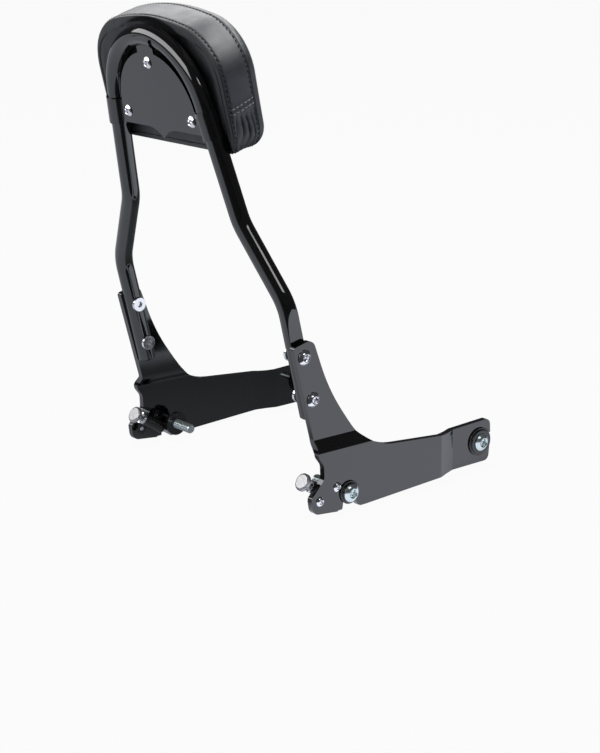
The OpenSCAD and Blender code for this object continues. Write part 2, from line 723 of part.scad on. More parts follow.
module latch_pin() {
    tip = 1.5;
    rotate_extrude() polygon([[0, -pin_reach], [pin_d / 2 - tip, -pin_reach], [pin_d / 2, -pin_reach + tip],
        [pin_d / 2, collar_low], [chamber_d / 2 - slide_play, collar_low],
        [chamber_d / 2 - slide_play, collar_low + collar_t], [stem_d / 2, collar_low + collar_t],
        [stem_d / 2, knob_low + stem_bite], [0, knob_low + stem_bite]]);
}
module latch_knob() {
    r = knob_d / 2;
    difference() {
        translate([0, 0, knob_low]) rotate_extrude()
            polygon(rounded([[0, 0, 0], [r * 0.55, 0, 0.5], [r * 0.6, knob_h * 0.35, 1.5],
                [r, knob_h * 0.45, 0.8], [r, knob_h * 0.85, 1], [r * 0.8, knob_h, 1.5], [0, knob_h, 0]]));
        translate([0, 0, knob_low - eps])
            cylinder(d = stem_d + 2 * thread_play, h = stem_bite + thread_play + eps);
    }
}

// Helical spring: rings of points along the helix, skinned into one closed form
spring_low = collar_low + collar_t + 0.1;
spring_high = housing_high - cap_spigot - 0.1;
spring_r = (stem_d / 2 + chamber_d / 2) / 2;
module latch_spring() {
    sides = 8;
    rings = 16 * spring_turns;
    rise = spring_high - spring_low - spring_wire;
    pts = [for (i = [0:rings])
        let (a = 360 * spring_turns * i / rings, z = spring_low + spring_wire / 2 + rise * i / rings)
        for (k = [0:sides - 1]) let (b = 360 * k / sides, d = spring_r + spring_wire / 2 * cos(b))
            [d * cos(a), d * sin(a), z + spring_wire / 2 * sin(b)]];
    faces = [
        [for (k = [0:sides - 1]) k],
        [for (k = [sides - 1:-1:0]) rings * sides + k],
        for (i = [0:rings - 1]) for (k = [0:sides - 1]) let (n = (k + 1) % sides)
            [i * sides + k, (i + 1) * sides + k, (i + 1) * sides + n, i * sides + n]];
    polyhedron(pts, faces);
}
latch_head_h = 2.7;
module latch_screws() {
    wall = mid_out - latch_x;
    color([0.8, 0.8, 0.82]) both_sides() at_latch() for (p = latch_screw_places)
        translate([wall, p.x, p.y]) button_screw(latch_screw_d, latch_head_d, latch_head_h, plate_t + ear_t);
}
module latch_housing_right() {
    color([0.1, 0.1, 0.1]) at_latch() latch_housing();
}
module latch_housing_left() {
    color([0.1, 0.1, 0.1]) mirror([1, 0, 0]) at_latch() latch_housing();
}
module latch_cap_right() {
    color([0.7, 0.7, 0.7]) at_latch() latch_cap();
}
module latch_cap_left() {
    color([0.7, 0.7, 0.7]) mirror([1, 0, 0]) at_latch() latch_cap();
}
module latch_pin_right() {
    color([0.8, 0.8, 0.8]) at_latch() latch_pin();
}
module latch_pin_left() {
    color([0.8, 0.8, 0.8]) mirror([1, 0, 0]) at_latch() latch_pin();
}
module latch_knob_right() {
    color([0.85, 0.85, 0.87]) at_latch() latch_knob();
}
module latch_knob_left() {
    color([0.85, 0.85, 0.87]) mirror([1, 0, 0]) at_latch() latch_knob();
}
module latch_spring_right() {
    color([0.6, 0.6, 0.6]) at_latch() latch_spring();
}
module latch_spring_left() {
    color([0.6, 0.6, 0.6]) mirror([1, 0, 0]) at_latch() latch_spring();
}

hoop_bar();
side_plate_left();
side_plate_right();
pad_plate();
pad_cover();
pad_foam();
pad_base_board();
pad_tee_nuts();
pad_screws();
leg_screws();
leg_sleeve_nuts();
dock_spools_rear();
dock_spools_front();
dock_washers_rear();
dock_washers_front();
dock_bolts_rear();
dock_bolts_front();
latch_housing_left();
latch_housing_right();
latch_cap_left();
latch_cap_right();
latch_pin_left();
latch_pin_right();
latch_knob_left();
latch_knob_right();
latch_spring_left();
latch_spring_right();
latch_screws();
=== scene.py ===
"""Looks of a detachable motorcycle backrest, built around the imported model."""
import json
import math

import bmesh
import bpy
import numpy as np
from mathutils import Matrix, Vector


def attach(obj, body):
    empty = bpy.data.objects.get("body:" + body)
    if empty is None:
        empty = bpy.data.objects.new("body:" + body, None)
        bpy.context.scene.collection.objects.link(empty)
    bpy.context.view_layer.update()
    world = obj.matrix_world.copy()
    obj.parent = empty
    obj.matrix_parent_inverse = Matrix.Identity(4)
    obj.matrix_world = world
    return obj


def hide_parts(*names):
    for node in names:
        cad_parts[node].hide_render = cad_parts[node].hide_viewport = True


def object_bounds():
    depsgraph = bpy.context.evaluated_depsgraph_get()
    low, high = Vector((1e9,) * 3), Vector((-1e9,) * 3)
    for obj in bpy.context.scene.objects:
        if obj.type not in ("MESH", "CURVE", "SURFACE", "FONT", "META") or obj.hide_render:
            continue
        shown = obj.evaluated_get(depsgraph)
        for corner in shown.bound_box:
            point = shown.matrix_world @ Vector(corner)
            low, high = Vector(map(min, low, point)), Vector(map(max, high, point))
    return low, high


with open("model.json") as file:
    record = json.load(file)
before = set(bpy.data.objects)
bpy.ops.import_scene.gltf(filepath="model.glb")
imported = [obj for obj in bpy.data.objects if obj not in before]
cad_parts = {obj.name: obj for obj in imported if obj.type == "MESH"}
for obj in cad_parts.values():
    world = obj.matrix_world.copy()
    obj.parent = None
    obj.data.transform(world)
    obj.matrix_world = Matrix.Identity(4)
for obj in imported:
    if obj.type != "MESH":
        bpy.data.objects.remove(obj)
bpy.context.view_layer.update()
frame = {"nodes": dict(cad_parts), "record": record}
NODES = frame["nodes"]
MM = 0.001

# Sizes of the part in millimetres, the same as in its source
BAR_R = 8.5
FOOT_HALF, WAIST_HALF = 127.0, 85.0
LOW_BEND, HIGH_BEND, BEND_R = 90.0, 160.0, 45.0
HOOP_RISE, HOOP_R = 255.0, 68.0
LEAN = math.radians(13.5)
FOOT_DROP, LEG_SCREW_GAP = 19.0, 41.5
FLAT_DEPTH, FLAT_OVER, FLAT_SCOOP_R = 3.9, 15.0, 150.0
LEG_Y, LEG_Z = -35.6, 92.0
PLATE_T, ARM_STEP, FRONT_STEP = 6.0, 8.0, 8.0
BOLT_PLAY, THREAD_PLAY, SEAT_PLAY, SOFT_PLAY = 0.25, 0.1, 0.2, 0.3
DOCK_FRONT = (172.0, 10.5)
FRONT_FLANGE_LEN, STUD_D, STUD_LEN = 9.4, 9.5, 24.0
REAR_WASHER_D, FRONT_WASHER_D, DOCK_WASHER_T = 22.0, 28.0, 3.2
SHEET_BACK = 4.0
PAD_SCREW_PLACES = [(-48.5, 249.5), (48.5, 249.5), (0.0, 298.5)]
PAD_W, PAD_LOW, PAD_H, PAD_T = 189.0, 218.5, 121.5, 42.0
PAD_LOW_R, PAD_TOP_R, PAD_FRONT_ROUND, PAD_BACK_ROUND = 21.0, 52.0, 12.0, 2.0
CROWN, SHOULDER_DROP, TOP_RISE, TOP_ARC_R = 4.0, 14.0, 4.0, 240.0
COVER_T, LAYER_GAP, BOARD_T, PAST_BOARD = 1.4, 0.2, 6.0, 4.0
LATCH_SLOPE, PIN_DROP, EAR_T = math.radians(32.0), 10.0, 4.0
LATCH_SCREW_PLACES = [(9.2, 15.9), (-9.5, 28.0)]
NUT_BARREL_D = 10.5

# Button head screws: thread diameter, head diameter and head height
LEG_SCREW, PAD_SCREW = (8.0, 14.0, 4.2), (6.0, 11.0, 3.3)
LATCH_SCREW, DOCK_BOLT = (5.0, 9.0, 2.7), (10.0, 17.0, 4.2)

# Worked out from the sizes above
FLAT_X = FOOT_HALF + BAR_R - FLAT_DEPTH
FLAT_TOP = LEG_SCREW_GAP + FLAT_OVER
ARM_OUT = FLAT_X + PLATE_T
MID_OUT = ARM_OUT + ARM_STEP
FRONT_OUT = MID_OUT - FRONT_STEP
STRUT_HALF = FRONT_OUT - PLATE_T - SEAT_PLAY - FRONT_FLANGE_LEN
NUT_SEAT = FOOT_HALF - BAR_R + 1.0
PAD_HALF, PAD_TOP = PAD_W / 2, PAD_LOW + PAD_H
PAD_BACK = -BAR_R - SOFT_PLAY

# The photograph's camera: its place in millimetres, where it looks and its lens in pixels
PHOTO_H = 753
CAM_PLACE = Vector((1331.0, -1020.6, 556.0)) * MM
CAM_AZIMUTH = math.radians(50.89)
CAM_DOWN = math.radians(15.96)
CAM_ROLL = math.radians(-0.15)
FOCAL_PX = 1827.7
SENSOR = 36.0


def make_camera():
    data = bpy.data.cameras.new("camera")
    cam = bpy.data.objects.new("camera", data)
    bpy.context.scene.collection.objects.link(cam)
    ahead = Vector((-math.sin(CAM_AZIMUTH) * math.cos(CAM_DOWN),
                    math.cos(CAM_AZIMUTH) * math.cos(CAM_DOWN), -math.sin(CAM_DOWN)))
    right = Vector((math.cos(CAM_AZIMUTH), math.sin(CAM_AZIMUTH), 0.0))
    up = right.cross(ahead)
    right_rolled = right * math.cos(CAM_ROLL) + up * math.sin(CAM_ROLL)
    up_rolled = up * math.cos(CAM_ROLL) - right * math.sin(CAM_ROLL)
    turn = Matrix((right_rolled, up_rolled, -ahead)).transposed()
    cam.matrix_world = Matrix.Translation(CAM_PLACE) @ turn.to_4x4()
    data.sensor_width = SENSOR
    data.lens = FOCAL_PX / PHOTO_H * SENSOR
    data.clip_start = 0.05
    data.clip_end = 60.0
    bpy.context.scene.camera = cam


make_camera()


def leg(x, s, t):
    """World places of (x, s, t) in millimetres: x across, s up the legs' plane, t to the rear."""
    x, s, t = np.broadcast_arrays(np.asarray(x, float), s, t)
    y = LEG_Y - s * math.sin(LEAN) - t * math.cos(LEAN)
    z = LEG_Z + s * math.cos(LEAN) - t * math.sin(LEAN)
    return np.stack([x, y, z], -1) * MM


class Graph:
    """A node tree with short ways to add, join and mix."""

    def __init__(self, tree):
        self.tree = tree

    def node(self, kind, **settings):
        made = self.tree.nodes.new(kind)
        for key, value in settings.items():
            setattr(made, key, value)
        return made

    def link(self, source, target):
        self.tree.links.new(source, target)

    def feed(self, value, socket):
        """Links another node's output, or sets a plain value."""
        if isinstance(value, bpy.types.NodeSocket):
            self.link(value, socket)
        else:
            socket.default_value = value

    def math(self, operation, first, second):
        made = self.node("ShaderNodeMath", operation=operation)
        self.feed(first, made.inputs[0])
        self.feed(second, made.inputs[1])
        return made.outputs[0]

    def mix(self, factor, first, second):
        made = self.node("ShaderNodeMix", data_type="RGBA")
        self.feed(factor, made.inputs["Factor"])
        self.feed(first, made.inputs["A"])
        self.feed(second, made.inputs["B"])
        return made.outputs["Result"]


class Material(Graph):
    """A principled material whose colour, roughness and bump may come from nodes."""

    def __init__(self, name, color, rough, metal=0.0, **sockets):
        self.mat = bpy.data.materials.new(name)
        self.mat.use_nodes = True
        super().__init__(self.mat.node_tree)
        self.shader = self.tree.nodes["Principled BSDF"]
        self.shader.inputs["Base Color"].default_value = (*color, 1.0)
        self.shader.inputs["Roughness"].default_value = rough
        self.shader.inputs["Metallic"].default_value = metal
        for key, value in sockets.items():
            self.shader.inputs[key.replace("_", " ")].default_value = value
        self.place = self.node("ShaderNodeTexCoord").outputs["Object"]
        self.height = None

    def noise(self, scale, detail=3.0):
        made = self.node("ShaderNodeTexNoise")
        made.inputs["Scale"].default_value = scale
        made.inputs["Detail"].default_value = detail
        self.link(self.place, made.inputs["Vector"])
        return made.outputs["Fac"]

    def cells(self, scale, feature="DISTANCE_TO_EDGE"):
        made = self.node("ShaderNodeTexVoronoi", feature=feature)
        made.inputs["Scale"].default_value = scale
        self.link(self.place, made.inputs["Vector"])
        return made.outputs["Distance"]

    def ramp(self, source, low, high, start=0.3, end=0.7):
        """Spreads a factor's stretch from start to end over two numbers or colours."""
        made = self.node("ShaderNodeValToRGB")
        made.color_ramp.elements[0].position = start
        made.color_ramp.elements[1].position = end
        for element, value in zip(made.color_ramp.elements, (low, high)):
            color = value if isinstance(value, tuple) else (value, value, value)
            element.color = (*color, 1.0)
        self.link(source, made.inputs["Fac"])
        return made.outputs["Color"]

    def paint(self, source):
        self.link(source, self.shader.inputs["Base Color"])

    def roughen(self, source):
        self.link(source, self.shader.inputs["Roughness"])

    def bump(self, source, distance, strength=1.0):
        """Adds one layer of relief, its height in metres."""
        made = self.node("ShaderNodeBump")
        made.inputs["Strength"].default_value = strength
        made.inputs["Distance"].default_value = distance
        self.link(source, made.inputs["Height"])
        if self.height is not None:
            self.link(self.height, made.inputs["Normal"])
        self.height = made.outputs["Normal"]
        self.link(self.height, self.shader.inputs["Normal"])


def gloss_black():
    m = Material("gloss_black", (0.006, 0.006, 0.007), 0.07, IOR=1.9)
    m.paint(m.ramp(m.noise(40.0), (0.005, 0.005, 0.006), (0.007, 0.007, 0.008), 0.0, 1.0))
    m.roughen(m.ramp(m.noise(55.0), 0.05, 0.10))
    m.bump(m.noise(420.0, 1.0), 0.000012, 0.5)
    return m.mat


def satin_black():
    m = Material("satin_black", (0.012, 0.012, 0.012), 0.28, IOR=1.7)
    m.roughen(m.ramp(m.noise(300.0), 0.22, 0.34))
    m.bump(m.noise(2600.0), 0.00001, 0.4)
    return m.mat


def chrome():
    m = Material("chrome", (0.90, 0.91, 0.93), 0.14, 1.0)
    m.roughen(m.ramp(m.noise(220.0), 0.11, 0.17))
    return m.mat


def satin_steel():
    m = Material("satin_steel", (0.52, 0.52, 0.53), 0.4, 0.75)
    m.roughen(m.ramp(m.noise(400.0), 0.35, 0.45))
    return m.mat


def zinc():
    m = Material("zinc", (0.80, 0.90, 0.91), 0.2, 0.85)
    m.paint(m.ramp(m.noise(180.0), (0.76, 0.87, 0.88), (0.86, 0.94, 0.95)))
    m.roughen(m.ramp(m.noise(500.0), 0.14, 0.26))
    return m.mat


def vinyl():
    """Fine grain in cells, a finer tooth on it, and slow waves of the padding under it."""
    m = Material("vinyl", (0.021, 0.023, 0.029), 0.4, IOR=1.6, Sheen_Weight=0.12,
                 Sheen_Roughness=0.4)
    m.paint(m.ramp(m.noise(35.0), (0.017, 0.019, 0.025), (0.025, 0.028, 0.036)))
    m.roughen(m.ramp(m.noise(90.0), 0.36, 0.48))
    m.bump(m.ramp(m.cells(1300.0), 0.0, 1.0, 0.0, 0.25), 0.00006, 0.6)
    m.bump(m.noise(3200.0), 0.00003, 0.5)
    m.bump(m.noise(70.0), 0.0004, 0.35)
    return m.mat


def thread(name, shade):
    m = Material(name, (shade, shade, shade * 1.1), 0.75, IOR=1.3)
    m.bump(m.noise(6000.0), 0.00005, 0.8)
    return m.mat


def foam():
    m = Material("foam", (0.62, 0.56, 0.36), 0.9)
    m.bump(m.cells(1500.0, "F1"), 0.0003)
    return m.mat


def board():
    m = Material("board", (0.06, 0.06, 0.06), 0.6)
    m.bump(m.noise(900.0), 0.00008)
    return m.mat


FINISH = {"gloss_black": gloss_black(), "black_oxide": satin_black(), "chrome": chrome(),
          "zinc": zinc(), "vinyl": vinyl(), "foam": foam(), "board": board()}
# The cross stitches' thread is the edge rows' dark thread painted lighter, a painted highlight on
# the cross seams
EDGE_THREAD, CROSS_THREAD_PAINTED_HIGHLIGHT = thread("thread", 0.03), thread("cross_thread_painted_highlight", 0.2)
KNOB = satin_steel()
SLOT = {part["node"]: part["material_slot"] for part in frame["record"]["subparts"]}
BODY = {name: body for body, names in frame["record"]["behaviour"]["bodies"].items()
        for name in names}
for name, node in NODES.items():
    node.data.materials.clear()
    node.data.materials.append(FINISH[SLOT[name]])


def finish_mesh(obj, material, sharp):
    """Welds, turns the faces outward and keeps edges crisp past an angle in degrees."""
    work = bmesh.new()
    work.from_mesh(obj.data)
    bmesh.ops.remove_doubles(work, verts=work.verts, dist=1e-7)
    bmesh.ops.recalc_face_normals(work, faces=work.faces)
    work.to_mesh(obj.data)
    work.free()
    obj.data.materials.clear()
    obj.data.materials.append(material)
    obj.data.shade_smooth()
    obj.data.set_sharp_from_angle(angle=math.radians(sharp))


def mesh_object(name, points, faces, material, sharp=35.0):
    mesh = bpy.data.meshes.new(name)
    mesh.from_pydata([tuple(p) for p in points], [], faces)
    obj = bpy.data.objects.new(name, mesh)
    bpy.context.scene.collection.objects.link(obj)
    finish_mesh(obj, material, sharp)
    return obj


def ring_faces(rings, n, first=0, closed=False):
    """Quads between rings of n points each; a closed set joins its last ring to its first."""
    spans = range(rings) if closed else range(rings - 1)
    return [(first + i * n + k, first + (i + 1) % rings * n + k,
             first + (i + 1) % rings * n + (k + 1) % n, first + i * n + (k + 1) % n)
            for i in spans for k in range(n)]


def capped_faces(rings, n, first=0):
    last = first + (rings - 1) * n
    caps = [tuple(first + k for k in range(n)), tuple(last + k for k in reversed(range(n)))]
    return ring_faces(rings, n, first) + caps


def settle(obj, *nodes):
    """The piece rides with and stands for its CAD nodes, which are hidden."""
    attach(obj, BODY[nodes[0]])
    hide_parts(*nodes)


def apply_modifiers(obj):
    evaluated = obj.evaluated_get(bpy.context.evaluated_depsgraph_get())
    shape = bpy.data.meshes.new_from_object(evaluated)
    old = obj.data
    obj.modifiers.clear()
    obj.data = shape
    bpy.data.meshes.remove(old)


def keep_flats_flat(obj):
    """Rounded edges take their shading from the large faces beside them."""
    weigh = obj.modifiers.new("flat_shading", "WEIGHTED_NORMAL")
    weigh.weight = 100
    weigh.keep_sharp = True


def refined(name, bevel, segments=3, material=None):
    """A copy of a CAD node with clean flat faces and rounded edges, bevel in millimetres."""
    flat_within, edge_past, sharp_past = 0.4, 32.0, 40.0
    obj = bpy.data.objects.new(name + "_dressed", NODES[name].data.copy())
    bpy.context.scene.collection.objects.link(obj)
    work = bmesh.new()
    work.from_mesh(obj.data)
    bmesh.ops.remove_doubles(work, verts=work.verts, dist=1e-6)
    bmesh.ops.dissolve_limit(work, angle_limit=math.radians(flat_within), verts=work.verts,
                             edges=work.edges)
    work.to_mesh(obj.data)
    work.free()
    rounding = obj.modifiers.new("rounding", "BEVEL")
    rounding.width = bevel * MM
    rounding.segments = segments
    rounding.limit_method = "ANGLE"
    rounding.angle_limit = math.radians(edge_past)
    apply_modifiers(obj)
    finish_mesh(obj, material or FINISH[SLOT[name]], sharp_past)
    keep_flats_flat(obj)
    settle(obj, name)


# Hoop: one bar swept along both legs and the hoop, with a flat on the outside of each foot
BAR_SIDES, FLAT_POINTS = 72, 4
END_CHAMFER = 1.2
FLAT_ENDS_BY = LOW_BEND + 20.0


def unit(v):
    return v / np.linalg.norm(v)


def bend(a, b, c, r, steps):
    """Points and outward directions of the arc of radius r that rounds the corner b."""
    u, w = unit(a - b), unit(c - b)
    half = math.acos(float(u @ w)) / 2
    hub = b + unit(u + w) * r / math.sin(half)
    start, end = b + u * r / math.tan(half) - hub, b + w * r / math.tan(half) - hub
    turn = math.atan2(start[0] * end[1] - start[1] * end[0], float(start @ end))
    angles = math.atan2(start[1], start[0]) + turn * np.linspace(0, 1, steps + 1)
    ways = np.stack([np.cos(angles), np.sin(angles)], -1)
    return hub + r * ways, ways


def straight(a, b, out, steps):
    """Points strictly between a and b with one outward direction."""
    share = np.linspace(0, 1, steps + 1)[1:-1, None]
    return a + (b - a) * share, np.tile(out, (steps - 1, 1))


def hoop_path():
    """Centre points (x, s) of the bar from foot to foot, and its outward directions."""
    foot, low = np.array([FOOT_HALF, -FOOT_DROP]), np.array([FOOT_HALF, LOW_BEND])
    high, hub = np.array([WAIST_HALF, HIGH_BEND]), np.array([0.0, HOOP_RISE])
    away = high - hub
    turn = math.atan2(away[1], away[0]) + math.acos(HOOP_R / np.linalg.norm(away))
    touch = hub + HOOP_R * np.array([math.cos(turn), math.sin(turn)])
    lower, lower_out = bend(foot, low, high, BEND_R, 20)
    upper, upper_in = bend(low, high, touch, BEND_R, 16)
    upper_out = -upper_in
    angles = turn + (math.pi - 2 * turn) * np.linspace(0, 1, 121)
    ring_out = np.stack([np.cos(angles), np.sin(angles)], -1)
    parts = [(foot[None], lower_out[:1]), straight(foot, lower[0], lower_out[0], 60),
             (lower, lower_out), straight(lower[-1], upper[0], upper_out[0], 24),
             (upper, upper_out), straight(upper[-1], touch, ring_out[0], 24)]
    leg_points = np.concatenate([points for points, _ in parts])
    leg_out = np.concatenate([out for _, out in parts])
    mirror = np.array([-1.0, 1.0])
    points = np.concatenate([leg_points, hub + HOOP_R * ring_out, leg_points[::-1] * mirror])
    return points, np.concatenate([leg_out, ring_out, leg_out[::-1] * mirror])


def bar_section(centre, out, radius):
    """Ring of (x, s, t) points round the bar. Where the foot is flattened it has a chord."""
    outermost = abs(centre[0]) + radius * abs(out[0])
    rise = max(centre[1] + radius * out[1] - FLAT_TOP, 0.0)
    limit = FLAT_X + FLAT_SCOOP_R - math.sqrt(max(FLAT_SCOOP_R ** 2 - rise ** 2, 0.0))
    flattened = centre[1] < FLAT_ENDS_BY and outermost > limit
    cut = math.acos((limit - abs(centre[0])) / (radius * abs(out[0]))) if flattened else 0.0
    angles = cut + (2 * math.pi - 2 * cut) * np.arange(BAR_SIDES + 1) / BAR_SIDES
    chord = np.linspace(-1, 1, FLAT_POINTS + 2)[1:-1] * radius * math.sin(cut)
    over = np.append(radius * np.cos(angles), np.full(FLAT_POINTS, radius * math.cos(cut)))
    back = np.append(radius * np.sin(angles), chord)
    return np.column_stack([centre + over[:, None] * out, back])


def leg_screw_places():
    return [(side, s) for side in (1, -1) for s in (0.0, LEG_SCREW_GAP)]


def drill(side, s, radius, reach):
    """Cutting cylinder along X at a leg screw, from inboard of the bar out to reach."""
    sides = 48
    y, z = leg(0, s, 0)[1:]
    angles = np.arange(sides) * 2 * math.pi / sides
    points = [(side * x * MM, y + radius * MM * math.cos(a), z + radius * MM * math.sin(a))
              for x in (FOOT_HALF - 2 * BAR_R, reach) for a in angles]
    return mesh_object("drill", points, capped_faces(2, sides), FINISH["gloss_black"])


def make_hoop():
    points, outs = hoop_path()
    rings = [bar_section(c, o, BAR_R) for c, o in zip(points, outs)]
    ends = [bar_section(points[i], outs[i], BAR_R - END_CHAMFER) for i in (0, -1)]
    rings[0][:, 1] += END_CHAMFER
    rings[-1][:, 1] += END_CHAMFER
    rings = [ends[0]] + rings + [ends[1]]
    grid = np.concatenate(rings)
    hoop = mesh_object("hoop", leg(grid[:, 0], grid[:, 1], grid[:, 2]),
                       capped_faces(len(rings), len(rings[0])), FINISH["gloss_black"])
    through = (NUT_BARREL_D / 2 + THREAD_PLAY, FOOT_HALF + BAR_R)
    pocket = (LEG_SCREW[1] / 2 + BOLT_PLAY, NUT_SEAT)
    tools = [drill(side, s, radius, reach) for side, s in leg_screw_places()
             for radius, reach in (through, pocket)]
    for tool in tools:
        cut = hoop.modifiers.new("hole", "BOOLEAN")
        cut.object = tool
        cut.solver = "EXACT"
    apply_modifiers(hoop)
    for tool in tools:
        bpy.data.objects.remove(tool)
    finish_mesh(hoop, FINISH["gloss_black"], 30.0)
    settle(hoop, "hoop_bar")


make_hoop()

# Bent plates, with the edges that powder coat leaves rounded
refined("side_plate_left", 0.7)
refined("side_plate_right", 0.7)
refined("pad_plate", 0.35)


# Turned pieces: rings of (x, radius, hexagon share) along the piece's own axis
def turned(profile, sides=60):
    angles = np.arange(sides) * 2 * math.pi / sides
    in_side = (angles + math.pi / 6) % (math.pi / 3) - math.pi / 6
    corner = 1 / np.cos(in_side) - 1
    rings = [np.column_stack([np.full(sides, x), r * (1 + h * corner) * np.cos(angles),
                              r * (1 + h * corner) * np.sin(angles)]) for x, r, h in profile]
    return np.concatenate(rings), len(profile), sides


def button_profile(screw, length, tip=0.6):
    """Button head screw: head outward from x = 0, hexagon socket, shank inward."""
    d, head_d, head_h = screw
    rim, under, head_r, socket = 0.55, 0.25, head_d / 2, 0.36 * d
    dome_h = head_h - rim
    dome_r = (head_r ** 2 + dome_h ** 2) / (2 * dome_h)
    mouth = socket * 1.3
    dome = [(head_h - dome_r + math.sqrt(dome_r ** 2 - r * r), r, 0)
            for r in np.linspace(head_r, mouth, 12)]
    top = dome[-1][0]
    floor = top - head_h * 0.75
    shank = [(-length, 0, 0), (-length, d / 2 - tip, 0), (-length + tip, d / 2, 0),
             (0, d / 2, 0), (0, head_r - under, 0), (0.2, head_r, 0)]
    recess = [(top - 0.12, mouth * 0.97, 0), (top - 0.5, socket, 1), (floor, socket, 1),
              (floor - socket * 0.35, 0, 0)]
    return shank + dome + recess


def threaded_rod(d, low, high):
    """Threaded length along X, its ridge running round as a helix and fading at the tip."""
    pitch, deep, fade, sides, per_turn = 1.6, 0.8, 1.2, 36, 8
    angles = np.arange(sides) * 2 * math.pi / sides

    def ring(x, r):
        return np.column_stack([np.full(sides, x), r * np.cos(angles), r * np.sin(angles)])
    rings = [ring(low, 0.0)]
    for x in np.linspace(low, high, int((high - low) / pitch * per_turn) + 1):
        wave = np.abs(((x / pitch - angles / (2 * math.pi)) % 1.0) * 2 - 1)
        full = min((x - low) / fade, 1.0)
        rings.append(ring(x, d / 2 - deep * (1 - wave * full)))
    rings.append(ring(high, 0.0))
    return np.concatenate(rings), len(rings), sides


class Group:
    """Solids of one node, placed one by one and made into one piece."""

    def __init__(self, name):
        self.name, self.points, self.faces = name, [], []

    def add(self, solid, place, closed=False):
        points, rings, n = solid
        first = sum(len(p) for p in self.points)
        self.points.append(place(points))
        self.faces += ring_faces(rings, n, first, closed)

    def make(self, sharp=32.0):
        obj = mesh_object(self.name + "_dressed", np.concatenate(self.points), self.faces,
                          FINISH[SLOT[self.name]], sharp)
        settle(obj, self.name)


def along_x(x, y, z, side, spin=0.0):
    """Places a turned piece along X at (x, y, z) on one side, turned by spin round its axis."""
    c, s = math.cos(spin), math.sin(spin)

    def place(p):
        return np.column_stack([side * (x + p[:, 0]), y + c * p[:, 1] - s * p[:, 2],
                                z + s * p[:, 1] + c * p[:, 2]]) * MM
    return place


def at_latch(x, across, up, side, spin):
    """Places a turned piece along X at a point that is measured across and up the latch's pin."""
    turn = math.pi / 2 - LATCH_SLOPE
    from_pin = across - PIN_DROP
    y = from_pin * math.cos(turn) - up * math.sin(turn)
    z = from_pin * math.sin(turn) + up * math.cos(turn)
    return along_x(x, y, z, side, spin)


def on_sheet(x, s, spin):
    """Places a turned piece square on the pad plate's back."""
    c, w = math.cos(spin), math.sin(spin)

    def place(p):
        return leg(x + c * p[:, 1] - w * p[:, 2], s + w * p[:, 1] + c * p[:, 2],
                   SHEET_BACK + p[:, 0])
    return place


def make_leg_screws():
    group = Group("leg_screws")
    solid = turned(button_profile(LEG_SCREW, ARM_OUT - NUT_SEAT - 1))
    for i, (side, s) in enumerate(leg_screw_places()):
        y, z = leg(0, s, 0)[1:] / MM
        group.add(solid, along_x(ARM_OUT, y, z, side, 0.3 + 0.41 * i))
    group.make()


def make_pad_screws():
    group = Group("pad_screws")
    tip = PAD_BACK - COVER_T - LAYER_GAP - BOARD_T - PAST_BOARD
    solid = turned(button_profile(PAD_SCREW, SHEET_BACK - tip))
    for i, (x, s) in enumerate(PAD_SCREW_PLACES):
        group.add(solid, on_sheet(x, s, 0.2 + 0.5 * i))
    group.make()


def make_latch_screws():
    group = Group("latch_screws")
    solid = turned(button_profile(LATCH_SCREW, PLATE_T + EAR_T))
    for side in (1, -1):
        for i, (across, up) in enumerate(LATCH_SCREW_PLACES):
            group.add(solid, at_latch(MID_OUT, across, up, side, 0.3 + i))
    group.make()


def make_dock_bolts(name, y, z, face):
    """Shouldered bolts: a head and shank on a washer, and a thinner threaded end past the spool."""
    group = Group(name)
    seat = face + SEAT_PLAY + DOCK_WASHER_T
    head = turned(button_profile(DOCK_BOLT, seat - STRUT_HALF, 0.3))
    stud = threaded_rod(STUD_D, -STUD_LEN, 0.0)
    for side in (1, -1):
        group.add(head, along_x(seat, y, z, side, 0.35))
        group.add(stud, along_x(STRUT_HALF, y, z, side))
    group.make()


def washer_profile(d):
    """Washer with a rounded rim, a groove and a raised face, round a clear hole."""
    r, bore, t = d / 2, DOCK_BOLT[0] / 2 + BOLT_PLAY, DOCK_WASHER_T
    rim = [(0, r - 0.5, 0), (0.12, r - 0.12, 0), (0.5, r, 0), (1.0, r, 0), (1.35, r - 0.2, 0)]
    groove = [(1.45, r - 0.7, 0), (1.3, r - 1.3, 0), (1.55, r - 1.75, 0)]
    face = [(2.1, r - 1.7, 0), (2.75, r - 1.75, 0), (3.1, r - 2.05, 0), (t, r - 2.6, 0)]
    return [(0, bore, 0)] + rim + groove + face + [(t, bore + 0.3, 0), (t - 0.3, bore, 0)]


def make_washers(name, d, y, z, face):
    group = Group(name)
    for side in (1, -1):
        group.add(turned(washer_profile(d), 96), along_x(face + SEAT_PLAY, y, z, side), True)
    group.make(50.0)


make_leg_screws()
make_pad_screws()
make_latch_screws()
make_dock_bolts("dock_bolts_rear", 0.0, 0.0, MID_OUT)
make_dock_bolts("dock_bolts_front", *DOCK_FRONT, FRONT_OUT)
make_washers("dock_washers_rear", REAR_WASHER_D, 0.0, 0.0, MID_OUT)
make_washers("dock_washers_front", FRONT_WASHER_D, *DOCK_FRONT, FRONT_OUT)
refined("leg_sleeve_nuts", 0.35, 2)
refined("dock_spools_rear", 0.5, 2)
refined("dock_spools_front", 0.5, 2)
for side in ("left", "right"):
    refined("latch_housing_" + side, 0.45, 2)
    refined("latch_cap_" + side, 0.4, 2)
    refined("latch_pin_" + side, 0.25, 2)
    refined("latch_knob_" + side, 0.3, 2, KNOB)


